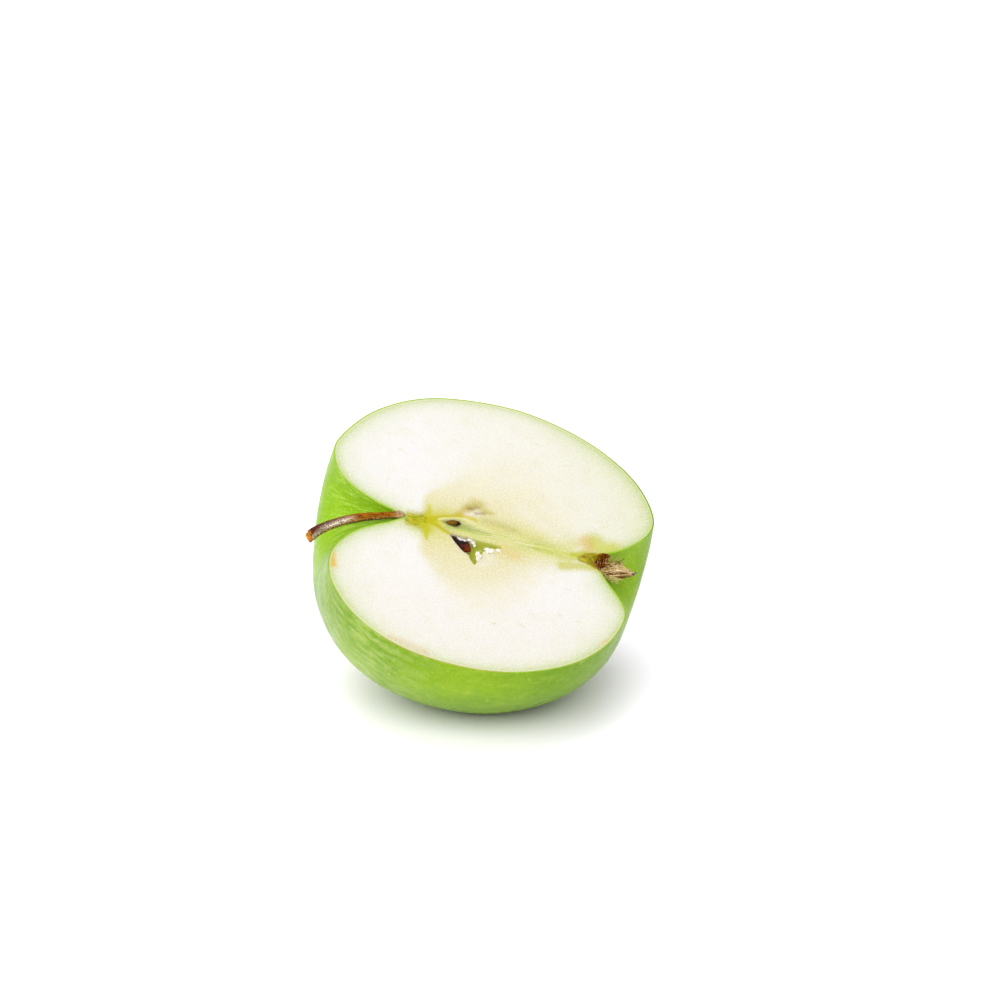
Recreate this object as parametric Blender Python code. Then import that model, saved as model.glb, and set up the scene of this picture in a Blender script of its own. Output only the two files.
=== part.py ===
"""Front half of a green apple, cut lengthwise, with its stem, dried calyx and two seeds.

Fruit coordinates, in millimetres: u runs along the core from the stem end to the calyx end,
v runs across the cut face towards the viewer, w points out of the cut face.
The half leans towards -Y and rests on a small flat spot. Metres in the file, +Z up.
"""
import math

import bmesh
import bpy
from mathutils import Matrix, Vector

MM = 0.001

# How the half lies: the core dips towards the calyx end, the cut face leans to the viewer
DIP = math.radians(13.0)
LEAN = math.radians(25.5)
FLAT_DEPTH = 1.8

# Meridian of the fruit, u then distance from the core line, for the two lobes of the cut face
LOBES = {
    "pit bottom": ((-14.0, 0.0), (-14.0, 0.0)),
    "pit wall": ((-18.0, 2.8), (-18.2, 1.4)),
    "pit mouth": ((-23.0, 5.9), (-23.5, 3.6)),
    "pit lip": ((-27.0, 10.8), (-28.2, 7.2)),
    "crown": ((-28.4, 15.8), (-30.9, 13.0)),
    "shoulder": ((-26.9, 22.5), (-30.1, 18.7)),
    "shoulder turn": ((-20.9, 30.2), (-23.6, 28.3)),
    "upper cheek": ((-11.0, 35.7), (-12.5, 35.2)),
    "girth": ((1.0, 37.5), (2.6, 37.2)),
    "lower cheek": ((12.5, 36.1), (14.0, 35.3)),
    "base turn": ((23.5, 31.0), (24.3, 30.8)),
    "base shoulder": ((30.7, 23.6), (32.9, 23.7)),
    "base crown": ((33.9, 15.4), (37.6, 14.8)),
    "basin lip": ((32.6, 10.7), (36.7, 8.6)),
    "basin wall": ((28.9, 5.7), (31.6, 3.3)),
    "basin bottom": ((25.4, 0.0), (25.4, 0.0)),
}
MERIDIAN_STEPS = 4
ROUND_STEPS = 40
RIBS = 5
RIB_HEIGHT = 0.35
# Away from the cut face the ends of the fruit reach a little further out
STEM_END_BULGE = 0.035
CALYX_END_BULGE = 0.035

# Clear gap between the flesh and every other piece
GAP = 0.3

# Stem: centre line (u, v, w) and radius
STEM = (
    ((-12.6, 0.2, -0.5), 0.55),
    ((-13.4, 0.3, -0.4), 0.95),
    ((-15.0, 0.3, -0.3), 1.0),
    ((-17.3, 0.4, -0.3), 0.72),
    ((-19.5, 0.9, -0.7), 0.8),
    ((-22.5, 1.6, -1.2), 0.98),
    ((-25.5, 2.6, -1.8), 1.05),
    ((-28.5, 4.1, -2.6), 1.12),
    ((-31.0, 5.6, -3.3), 1.2),
    ((-33.3, 7.6, -4.0), 1.3),
)
STEM_SIDES = 14
STEM_STEPS = 4

# Dried calyx: centre line and radius, drawn in to five folds
CALYX = (
    ((25.2, 1.5, -1.8), 0.9),
    ((26.2, 1.6, -1.7), 1.9),
    ((27.8, 1.8, -1.5), 2.3),
    ((29.6, 2.1, -1.3), 2.7),
    ((31.2, 2.3, -1.2), 2.2),
    ((33.0, 2.3, -1.1), 1.4),
    ((35.0, 2.0, -0.9), 0.7),
)
CALYX_FOLDS = 5
FOLD_DEPTH = 0.2
CALYX_TWIST = math.radians(35.0)

# Seeds: pointed end, round end, width, thickness, all at the middle of the seed
UPPER_SEED = ((-5.5, -1.4, -0.6), (-2.4, -1.8, -0.8), 1.6, 1.4)
LOWER_SEED = ((-4.0, 2.2, -0.5), (0.4, 5.0, -1.0), 2.6, 2.0)

# Outlines of the opened seed chambers in the cut face (u, v), with their middles and depths
UPPER_CHAMBER = ((-6.4, -0.9), (-4.7, -2.0), (-2.8, -2.4), (-0.9, -1.6), (1.4, -0.8), (4.2, -0.1),
                 (1.8, 0.1), (-1.0, 0.3), (-3.6, 0.3), (-5.3, 0.0))
UPPER_MIDDLE = (-2.6, -0.9)
UPPER_CHAMBER_DEPTH = 1.6
LOWER_CHAMBER = ((-4.5, 2.0), (-2.4, 1.9), (0.6, 2.2), (3.6, 2.4), (6.6, 2.8), (6.0, 3.6), (4.2, 3.9),
                 (3.1, 5.0), (2.5, 6.4), (2.1, 7.8), (1.6, 9.1), (0.7, 8.2), (0.0, 6.9), (-1.2, 6.2),
                 (-2.4, 5.0), (-3.5, 3.7))
LOWER_MIDDLE = (0.8, 4.0)
LOWER_CHAMBER_DEPTH = 2.6
# The chambers' cutters: how far their dish and their lid reach out of the face
RISE = 0.4
LID_HEIGHT = 2.0
CHAMBER_STEPS = 2
CHAMBER_RINGS = 5


def to_world():
    """Rotation from fruit coordinates to the frame the part rests in."""
    along = Vector((math.cos(DIP), 0.0, -math.sin(DIP)))
    level = Vector((math.sin(DIP), 0.0, math.cos(DIP)))
    towards = Vector((0.0, -1.0, 0.0))
    out = level * math.cos(LEAN) + towards * math.sin(LEAN)
    across = towards * math.cos(LEAN) - level * math.sin(LEAN)
    turn = Matrix((along, across, out)).transposed()
    return turn


def spline(points, steps, closed=False):
    """Catmull-Rom curve through the points, whatever their number of coordinates."""
    size = len(points[0])
    if closed:
        row = [points[-1], *points, points[0], points[1]]
    else:
        before = tuple(2 * a - b for a, b in zip(points[0], points[1]))
        after = tuple(2 * a - b for a, b in zip(points[-1], points[-2]))
        row = [before, *points, after]
    out = []
    for i in range(1, len(row) - 2):
        a, b, c, d = row[i - 1:i + 3]
        for k in range(steps):
            t = k / steps
            out.append(tuple(
                0.5 * (2 * b[j] + (c[j] - a[j]) * t + (2 * a[j] - 5 * b[j] + 4 * c[j] - d[j]) * t * t
                       + (3 * b[j] - a[j] - 3 * c[j] + d[j]) * t ** 3)
                for j in range(size)))
    if not closed:
        out.append(tuple(points[-1]))
    return out


def mesh_object(name, verts, faces):
    """A closed mesh with its normals facing out."""
    mesh = bpy.data.meshes.new(name)
    mesh.from_pydata([Vector(p) for p in verts], [], faces)
    bm = bmesh.new()
    bm.from_mesh(mesh)
    bmesh.ops.recalc_face_normals(bm, faces=bm.faces)
    bm.to_mesh(mesh)
    bm.free()
    obj = bpy.data.objects.new(name, mesh)
    bpy.context.scene.collection.objects.link(obj)
    return obj


def tube(name, line, radii, sides, ripple=None):
    """A tube along a line, closed at both ends."""
    verts = []
    faces = []
    count = len(line)
    side_way = Vector((0.0, 0.0, 1.0))
    for i, (point, radius) in enumerate(zip(line, radii)):
        ahead = Vector(line[min(i + 1, count - 1)]) - Vector(line[max(i - 1, 0)])
        ahead.normalize()
        first = side_way.cross(ahead).normalized()
        second = ahead.cross(first).normalized()
        for k in range(sides):
            angle = 2 * math.pi * k / sides
            reach = radius * (ripple(angle, i / (count - 1)) if ripple else 1.0)
            verts.append(Vector(point) + first * (reach * math.cos(angle)) + second * (reach * math.sin(angle)))
    for i in range(count - 1):
        for k in range(sides):
            n = (k + 1) % sides
            faces.append((i * sides + k, i * sides + n, (i + 1) * sides + n, (i + 1) * sides + k))
    for row in (0, count - 1):
        verts.append(Vector(line[row]))
        middle = len(verts) - 1
        for k in range(sides):
            faces.append((row * sides + k, row * sides + (k + 1) % sides, middle))
    return mesh_object(name, verts, faces)


def fruit_half():
    """Half of the fruit: the skin side and the flat cut face as one closed solid."""
    lower = spline([pair[0] for pair in LOBES.values()], MERIDIAN_STEPS)
    upper = spline([pair[1] for pair in LOBES.values()], MERIDIAN_STEPS)
    count = len(lower)
    verts = [(lower[0][0], 0.0, 0.0), (lower[-1][0], 0.0, 0.0)]
    faces = []
    rows = []
    for j in range(ROUND_STEPS + 1):
        theta = math.pi * j / ROUND_STEPS
        share = (1 - math.cos(theta)) / 2
        row = []
        for i in range(1, count - 1):
            u = lower[i][0] * (1 - share) + upper[i][0] * share
            rho = lower[i][1] * (1 - share) + upper[i][1] * share
            along = i / (count - 1)
            rib = RIB_HEIGHT * math.sin(theta) * along ** 2 * math.sin(math.pi * along)
            rho += rib * math.cos(RIBS * theta)
            bulge = STEM_END_BULGE if u < 0 else CALYX_END_BULGE
            u += u * bulge * math.sin(theta) * (0.7 + 0.6 * share) * min(1.0, rho / 10.0)
            row.append(len(verts))
            verts.append((u, rho * math.cos(theta), -rho * math.sin(theta)))
        rows.append(row)
    for j in range(ROUND_STEPS):
        near, far = rows[j], rows[j + 1]
        faces.append((0, near[0], far[0]))
        faces.append((1, far[-1], near[-1]))
        for i in range(len(near) - 1):
            faces.append((near[i], near[i + 1], far[i + 1], far[i]))
    faces.append((0, *rows[-1], 1, *reversed(rows[0])))
    return mesh_object("half", verts, faces)


def chamber(name, outline, middle, depth):
    """Cutter for an opened seed chamber: a dish under its outline in the cut face."""
    edge = spline(outline, CHAMBER_STEPS, closed=True)
    sides = len(edge)
    verts = [(*middle, -depth)]
    for i in range(1, CHAMBER_RINGS + 1):
        part = i / CHAMBER_RINGS
        drop = RISE - (depth + RISE) * math.sqrt(1 - part * part)
        for u, v in edge:
            verts.append((middle[0] + part * (u - middle[0]), middle[1] + part * (v - middle[1]), drop))
    verts += [(u, v, LID_HEIGHT) for u, v in edge]
    faces = []
    for k in range(sides):
        n = (k + 1) % sides
        faces.append((0, 1 + k, 1 + n))
        for i in range(CHAMBER_RINGS):
            here, there = 1 + i * sides, 1 + (i + 1) * sides
            faces.append((here + k, here + n, there + n, there + k))
    faces.append(tuple(1 + CHAMBER_RINGS * sides + k for k in range(sides)))
    return mesh_object(name, verts, faces)


def seed(name, size, grow=0.0):
    """A seed with one pointed and one round end, made larger by grow for its clearance."""
    start, end, width, thick = size
    a, b = Vector(start), Vector(end)
    ahead = (b - a).normalized()
    a -= ahead * grow
    b += ahead * grow
    side = Vector((0.0, 0.0, 1.0)).cross(ahead).normalized()
    up = ahead.cross(side).normalized()
    rings, sides = 12, 16
    verts = [a]
    faces = []
    for i in range(1, rings):
        part = i / rings
        fat = math.sin(math.pi * part ** 1.35) ** 0.72
        middle = a.lerp(b, part)
        for k in range(sides):
            angle = 2 * math.pi * k / sides
            across = (width / 2 + grow) * fat * math.cos(angle)
            high = (thick / 2 + grow) * fat * math.sin(angle)
            verts.append(middle + side * across + up * high)
    verts.append(b)
    last = len(verts) - 1
    for k in range(sides):
        n = (k + 1) % sides
        faces.append((0, 1 + k, 1 + n))
        faces.append((last, last - sides + n, last - sides + k))
        for i in range(rings - 2):
            here, there = 1 + i * sides, 1 + (i + 1) * sides
            faces.append((here + k, here + n, there + n, there + k))
    return mesh_object(name, verts, faces)


def stem(name, grow=0.0):
    rows = spline([(*point, radius) for point, radius in STEM], STEM_STEPS)
    radii = [row[3] + grow for row in rows]
    line = [Vector(row[:3]) for row in rows]
    if grow:
        line[0] += (line[0] - line[1]).normalized() * grow
    return tube(name, line, radii, STEM_SIDES)


def calyx(name, grow=0.0):
    rows = spline([(*point, radius) for point, radius in CALYX], STEM_STEPS)
    radii = [row[3] + grow for row in rows]
    line = [Vector(row[:3]) for row in rows]
    if grow:
        line[0] += (line[0] - line[1]).normalized() * grow

    def folds(angle, along):
        return 1.0 - FOLD_DEPTH * along * (0.5 + 0.5 * math.cos(CALYX_FOLDS * angle + CALYX_TWIST * along))

    return tube(name, line, radii, 30, None if grow else folds)


def cut(target, cutter):
    """Takes the cutter's volume out of the target, then removes the cutter."""
    modifier = target.modifiers.new("cut", "BOOLEAN")
    modifier.operation = "DIFFERENCE"
    modifier.solver = "EXACT"
    modifier.object = cutter
    bpy.context.view_layer.update()
    evaluated = target.evaluated_get(bpy.context.evaluated_depsgraph_get())
    mesh = bpy.data.meshes.new_from_object(evaluated)
    target.modifiers.clear()
    target.data = mesh
    bpy.data.objects.remove(cutter)


def material(name, colour, roughness):
    mat = bpy.data.materials.new(name)
    mat.use_nodes = True
    shader = mat.node_tree.nodes["Principled BSDF"]
    shader.inputs["Base Color"].default_value = (*colour, 1.0)
    shader.inputs["Roughness"].default_value = roughness
    return mat


def ground_block(lowest):
    """A block under the part whose top makes the flat spot."""
    half = 30.0
    top = lowest + FLAT_DEPTH
    corners = [(x * half, y * half, z) for z in (top - 20.0, top) for y in (-1, 1) for x in (-1, 1)]
    faces = [(0, 1, 3, 2), (4, 5, 7, 6), (0, 1, 5, 4), (2, 3, 7, 6), (0, 2, 6, 4), (1, 3, 7, 5)]
    return mesh_object("ground", corners, faces)


for old in list(bpy.data.objects):
    bpy.data.objects.remove(old)

body = fruit_half()
for cutter in (chamber("upper chamber", UPPER_CHAMBER, UPPER_MIDDLE, UPPER_CHAMBER_DEPTH),
               chamber("lower chamber", LOWER_CHAMBER, LOWER_MIDDLE, LOWER_CHAMBER_DEPTH),
               stem("stem room", GAP), calyx("calyx room", GAP),
               seed("upper seed room", UPPER_SEED, GAP), seed("lower seed room", LOWER_SEED, GAP)):
    cut(body, cutter)

pieces = {
    "flesh": (body, (0.86, 0.84, 0.62), 0.45),
    "stem": (stem("stem"), (0.20, 0.09, 0.035), 0.7),
    "calyx": (calyx("calyx"), (0.30, 0.18, 0.08), 0.85),
    "upper_seed": (seed("upper_seed", UPPER_SEED), (0.22, 0.07, 0.02), 0.3),
    "lower_seed": (seed("lower_seed", LOWER_SEED), (0.06, 0.015, 0.008), 0.3),
}

turn = to_world()
for piece, _, _ in pieces.values():
    piece.data.transform(turn.to_4x4())
    # Fruit coordinates are left-handed, so the turn mirrors the faces
    piece.data.flip_normals()

lowest = min(v.co.z for v in body.data.vertices)
cut(body, ground_block(lowest))

points = [v.co for piece, _, _ in pieces.values() for v in piece.data.vertices]
low = Vector([min(p[i] for p in points) for i in range(3)])
high = Vector([max(p[i] for p in points) for i in range(3)])
foot = Vector(((low.x + high.x) / 2, (low.y + high.y) / 2, low.z))

for name, (piece, colour, roughness) in pieces.items():
    piece.name = name
    piece.data.name = name
    piece.data.transform(Matrix.Translation(-foot))
    piece.data.transform(Matrix.Scale(MM, 4))
    piece.data.materials.clear()
    piece.data.materials.append(material(name, colour, roughness))
    piece.data.shade_smooth()
    piece.data.set_sharp_from_angle(angle=math.radians(40.0))
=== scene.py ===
"""Looks of the green apple half: skin, cut flesh with its opened core, stem, dried calyx and seeds.

Fruit coordinates, in millimetres: u runs along the core from the stem end to the calyx end,
v runs across the cut face towards the viewer, w points out of the cut face.
"""
import math
import random

import bmesh
import bpy
import numpy as np
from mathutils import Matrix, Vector, noise


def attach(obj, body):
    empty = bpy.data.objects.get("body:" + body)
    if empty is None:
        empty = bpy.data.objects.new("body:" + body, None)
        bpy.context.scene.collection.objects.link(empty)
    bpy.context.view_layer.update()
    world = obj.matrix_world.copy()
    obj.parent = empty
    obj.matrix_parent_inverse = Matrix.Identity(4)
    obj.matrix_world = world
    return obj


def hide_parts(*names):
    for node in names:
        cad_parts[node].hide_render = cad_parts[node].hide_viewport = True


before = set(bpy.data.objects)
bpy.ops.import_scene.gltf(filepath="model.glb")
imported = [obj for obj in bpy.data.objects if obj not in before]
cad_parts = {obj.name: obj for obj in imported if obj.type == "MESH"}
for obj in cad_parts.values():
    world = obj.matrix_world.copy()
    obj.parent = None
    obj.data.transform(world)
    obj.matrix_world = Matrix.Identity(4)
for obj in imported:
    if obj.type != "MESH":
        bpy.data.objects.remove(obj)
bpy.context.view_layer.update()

MM = 0.001
rng = random.Random(11)

# How the half lies, and where the fruit's own origin is in the frame (mm)
DIP = math.radians(13.0)
LEAN = math.radians(25.5)
ORIGIN = np.array((-1.706, -1.694, 36.243))

# Meridian of the fruit, u then distance from the core line, for the two lobes of the cut face
LOBES = {
    "pit bottom": ((-14.0, 0.0), (-14.0, 0.0)),
    "pit wall": ((-18.0, 2.8), (-18.2, 1.4)),
    "pit mouth": ((-23.0, 5.9), (-23.5, 3.6)),
    "pit lip": ((-27.0, 10.8), (-28.2, 7.2)),
    "crown": ((-28.4, 15.8), (-30.9, 13.0)),
    "shoulder": ((-26.9, 22.5), (-30.1, 18.7)),
    "shoulder turn": ((-20.9, 30.2), (-23.6, 28.3)),
    "upper cheek": ((-11.0, 35.7), (-12.5, 35.2)),
    "girth": ((1.0, 37.5), (2.6, 37.2)),
    "lower cheek": ((12.5, 36.1), (14.0, 35.3)),
    "base turn": ((23.5, 31.0), (24.3, 30.8)),
    "base shoulder": ((30.7, 23.6), (32.9, 23.7)),
    "base crown": ((33.9, 15.4), (37.6, 14.8)),
    "basin lip": ((32.6, 10.7), (36.7, 8.6)),
    "basin wall": ((28.9, 5.7), (31.6, 3.3)),
    "basin bottom": ((25.4, 0.0), (25.4, 0.0)),
}
RIBS = 5
RIB_HEIGHT = 0.35
STEM_END_BULGE = 0.035
CALYX_END_BULGE = 0.035
SKIN_THICKNESS = 0.35
SKIN_ROOM = 0.01

MERIDIAN_STEPS = 20
ROUND_STEPS = 160
HIDDEN_EVERY = 8
FACE_STEPS = 120
FACE_SPREAD = 1.6
VESSEL_ENDS = 26

# Stem: centre line (u, v, w) and radius
STEM = (
    ((-14.1, -0.2, -0.5), 0.4),
    ((-14.7, -0.3, -0.4), 0.72),
    ((-15.6, -0.2, -0.3), 0.9),
    ((-17.2, 0.2, -0.4), 0.66),
    ((-19.5, 0.9, -0.7), 0.76),
    ((-22.5, 1.6, -1.2), 0.9),
    ((-25.5, 2.6, -1.8), 0.95),
    ((-28.5, 4.1, -2.6), 0.98),
    ((-31.0, 5.7, -3.3), 1.06),
    ((-33.05, 7.9, -4.0), 1.2),
)
STEM_SIDES = 36
# Which way across the stem is up, and the slope of its oblique cut
STEM_TOP = (0.72, 0.69)
CUT_SLOPE = 0.5

# Seeds: pointed end, round end, width, thickness, all at the middle of the seed
UPPER_SEED = ((-5.9, -1.3, -0.5), (-2.4, -1.9, -0.8), 1.25, 1.05)
LOWER_SEED = ((-4.0, 2.2, -0.5), (0.4, 5.0, -1.0), 2.6, 2.0)
SEED_BUMPS = 0.03

# Dried strips of the calyx: points across one, half its thickness, and its crinkles
STRIP_POINTS = 9
STRIP_THICKNESS = 0.11
STRIP_CRINKLE = 0.24

# Outlines of the opened seed chambers in the cut face (u, v), with their depths
UPPER_CHAMBER = ((-6.4, -0.9), (-4.7, -2.0), (-2.8, -2.4), (-0.9, -1.6), (1.4, -0.8), (4.2, -0.1),
                 (1.8, 0.1), (-1.0, 0.3), (-3.6, 0.3), (-5.3, 0.0))
UPPER_CHAMBER_DEPTH = 1.6
LOWER_CHAMBER = ((-4.5, 2.0), (-2.4, 1.9), (0.6, 2.2), (3.6, 2.4), (6.6, 2.8), (6.0, 3.6), (4.2, 3.9),
                 (3.1, 5.0), (2.5, 6.4), (2.1, 7.8), (1.6, 9.1), (0.7, 8.2), (0.0, 6.9), (-1.2, 6.2),
                 (-2.4, 5.0), (-3.5, 3.7))
LOWER_CHAMBER_DEPTH = 2.6
PITH_ROUGHNESS = 0.7
# Outline of the yellow funnel that ends at the calyx tube
FUNNEL = ((22.5, 1.3), (23.4, 0.4), (24.4, -0.5), (26.6, -0.9), (27.4, 1.0), (26.9, 3.1), (25.2, 2.6),
          (24.0, 2.2), (23.2, 2.1))

# Camera: distance to the cut face, where that point sits in the 1000 px picture, and px per mm there
CAMERA_TILT = math.radians(21.5)
CAMERA_DISTANCE = 950.0
FACE_PIXEL = (472.06, 530.47)
PIXELS_PER_MM = 4.835
PICTURE = 1000
SENSOR = 36.0

# The floor is lit beyond white, so a colour seen on the cut face is this share of its screen value
FLESH_SHADE = 0.545
HORIZON_GLOW = 0.68
ZENITH_GLOW = 1.05
SIDE_GLOW = (-0.35, -0.25, 0.0)
# Area lights: name, place, width, height and power, all aimed at the middle of the half
LIGHTS = (
    ("top", (-0.1, 0.25, 1.1), 1.0, 1.0, 6.5),
    ("front", (-0.15, -0.85, 0.88), 2.0, 0.85, 14.7),
    ("left", (-1.1, 0.0, 0.4), 0.5, 0.8, 2.0),
)
LIGHT_AIM = (0.0, 0.0, 0.03)
# The floor, in metres: from the middle to its sides, and a hair under the part
FLOOR_REACH = 6.0
FLOOR_DROP = 0.00003


def srgb(*screen):
    """Linear colour from 0 to 255 screen values."""
    shares = [value / 255 for value in screen]
    return tuple(c / 12.92 if c <= 0.04045 else ((c + 0.055) / 1.055) ** 2.4 for c in shares)


def flesh_tone(*screen):
    """Colour of the flesh that looks like these screen values in the studio light."""
    return tuple(FLESH_SHADE * value for value in srgb(*screen))


def frame_axes():
    along = np.array((math.cos(DIP), 0.0, -math.sin(DIP)))
    level = np.array((math.sin(DIP), 0.0, math.cos(DIP)))
    towards = np.array((0.0, -1.0, 0.0))
    out = level * math.cos(LEAN) + towards * math.sin(LEAN)
    across = towards * math.cos(LEAN) - level * math.sin(LEAN)
    return np.stack((along, across, out))


AXES = frame_axes()


def to_frame(points):
    """Fruit millimetres to the frame's metres."""
    return (np.asarray(points, float) @ AXES + ORIGIN) * MM


def spline(points, steps, closed=False):
    """Catmull-Rom curve through the points."""
    p = np.asarray(points, float)
    ends = (p[-1:], p[:2]) if closed else (2 * p[0] - p[1], 2 * p[-1] - p[-2])
    row = np.vstack((ends[0], p, ends[1]))
    out = []
    for i in range(1, len(row) - 2):
        a, b, c, d = row[i - 1:i + 3]
        for k in range(steps):
            t = k / steps
            out.append(0.5 * (2 * b + (c - a) * t + (2 * a - 5 * b + 4 * c - d) * t * t
                              + (3 * b - a - 3 * c + d) * t ** 3))
    if not closed:
        out.append(p[-1])
    return np.array(out)


def smooth_line(line, passes):
    """Evens a curve out without moving its ends."""
    line = line.copy()
    for _ in range(passes):
        line[1:-1] = 0.25 * line[:-2] + 0.5 * line[1:-1] + 0.25 * line[2:]
    return line


def smoothstep(low, high, value):
    t = np.clip((value - low) / (high - low), 0.0, 1.0)
    return t * t * (3 - 2 * t)


def noise_at(points, size, seed=0.0):
    """Smooth noise from -1 to 1 at each point, with lumps of the given size."""
    return np.array([noise.noise(Vector(p) / size + Vector((seed, seed * 1.7, -seed))) for p in points])


def polyline_distance(u, v, points):
    """Distance of each (u, v) to a line of points, and how far along it the nearest place is."""
    best = np.full(u.shape, 1e9)
    along = np.zeros(u.shape)
    p = np.asarray(points, float)
    for i in range(len(p) - 1):
        a, d = p[i], p[i + 1] - p[i]
        t = np.clip(((u - a[0]) * d[0] + (v - a[1]) * d[1]) / max(d @ d, 1e-9), 0, 1)
        gap = np.hypot(u - a[0] - t * d[0], v - a[1] - t * d[1])
        near = gap < best
        best = np.where(near, gap, best)
        along = np.where(near, (i + t) / (len(p) - 1), along)
    return best, along


def inside_distance(u, v, outline):
    """Signed distance to a closed outline, positive inside."""
    ring = spline(outline, 6, closed=True)
    gap, _ = polyline_distance(u, v, np.vstack((ring, ring[:1])))
    inside = np.zeros(u.shape, bool)
    for (u0, v0), (u1, v1) in zip(ring, np.roll(ring, -1, axis=0)):
        crosses = (v0 > v) != (v1 > v)
        at = (u1 - u0) * (v - v0) / (v1 - v0 if v1 != v0 else 1e-9) + u0
        inside ^= crosses & (u < at)
    return np.where(inside, gap, -gap)


def lengths(line):
    """How far along a line each of its points lies."""
    return np.concatenate(([0.0], np.cumsum(np.linalg.norm(np.diff(line, axis=0), axis=1))))


def cross_axes(line, i, up=(0, 0, 1)):
    """Two directions across a line at its point i."""
    ahead = Vector(line[min(i + 1, len(line) - 1)] - line[max(i - 1, 0)]).normalized()
    first = Vector(up).cross(ahead).normalized()
    return first, ahead.cross(first).normalized()


def shifted(faces, count):
    """Faces whose points come after count others."""
    return [tuple(count + i for i in face) for face in faces]


def plain(tint, points):
    """One colour for all points."""
    return np.tile(np.array(tint), (len(points), 1))


def link(name, data):
    """An object of the scene for a mesh, a light or a camera."""
    obj = bpy.data.objects.new(name, data)
    bpy.context.scene.collection.objects.link(obj)
    return obj


def add_mesh(name, points, faces, material, values, colours=None, sharp=40.0):
    """A mesh object from fruit coordinates, with colour and number attributes on its points."""
    mesh = bpy.data.meshes.new(name)
    mesh.from_pydata(to_frame(points).tolist(), [], faces)
    if colours is not None:
        rgba = np.ones((len(points), 4))
        rgba[:, :3] = colours
        mesh.attributes.new("paint", "FLOAT_COLOR", "POINT").data.foreach_set("color", rgba.ravel())
    for key, data in values.items():
        data = np.asarray(data, float)
        kind, field = ("FLOAT_VECTOR", "vector") if data.ndim == 2 else ("FLOAT", "value")
        mesh.attributes.new(key, kind, "POINT").data.foreach_set(field, data.ravel())
    bm = bmesh.new()
    bm.from_mesh(mesh)
    bmesh.ops.recalc_face_normals(bm, faces=bm.faces)
    bm.to_mesh(mesh)
    bm.free()
    mesh.materials.append(material)
    mesh.shade_smooth()
    mesh.set_sharp_from_angle(angle=math.radians(sharp))
    return link(name, mesh)


class Graph:
    """Short calls for the nodes of a material or of the world."""

    def __init__(self, owner):
        owner.use_nodes = True
        self.owner = owner
        self.tree = owner.node_tree

    def put(self, socket, value):
        if isinstance(value, bpy.types.NodeSocket):
            self.tree.links.new(value, socket)
        elif value is not None:
            if isinstance(value, tuple) and len(value) == 3 and socket.type == "RGBA":
                value = (*value, 1.0)
            socket.default_value = value

    def node(self, kind, out, inputs=None, **settings):
        node = self.tree.nodes.new(kind)
        for key, value in settings.items():
            setattr(node, key, value)
        for key, value in (inputs or {}).items():
            self.put(node.inputs[key], value)
        return node.outputs[out]

    def attribute(self, name, out="Fac"):
        return self.node("ShaderNodeAttribute", out, attribute_name=name)

    def noise(self, vector, scale, detail=3.0, rough=0.5, distortion=0.0):
        return self.node("ShaderNodeTexNoise", "Fac", {
            "Vector": vector, "Scale": scale, "Detail": detail, "Roughness": rough,
            "Distortion": distortion})

    def cells(self, vector, scale):
        return self.node("ShaderNodeTexVoronoi", "Distance", {"Vector": vector, "Scale": scale})

    def stretch(self, vector, factors):
        return self.node("ShaderNodeVectorMath", "Vector", {0: vector, 1: factors}, operation="MULTIPLY")

    def math(self, operation, a, b):
        return self.node("ShaderNodeMath", "Value", {0: a, 1: b}, operation=operation)

    def times(self, a, b):
        return self.math("MULTIPLY", a, b)

    def ramp(self, factor, low, high, start=0.0, end=1.0):
        return self.node("ShaderNodeMapRange", "Result", {
            "Value": factor, "From Min": low, "From Max": high, "To Min": start, "To Max": end},
            interpolation_type="SMOOTHSTEP")

    def mix(self, factor, a, b, blend="MIX"):
        return self.node("ShaderNodeMix", 2, {0: factor, 6: a, 7: b}, data_type="RGBA", blend_type=blend)

    def bump(self, height, distance, strength):
        return self.node("ShaderNodeBump", "Normal", {
            "Height": height, "Distance": distance, "Strength": strength})

    def finish(self, colour, roughness, normal=None, **settings):
        shader = self.tree.nodes["Principled BSDF"]
        settings.update({"Base Color": colour, "Roughness": roughness, "Normal": normal})
        for key, value in settings.items():
            self.put(shader.inputs[key.replace("_", " ")], value)
        return self.owner


def material_graph(name):
    return Graph(bpy.data.materials.new(name))


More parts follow.
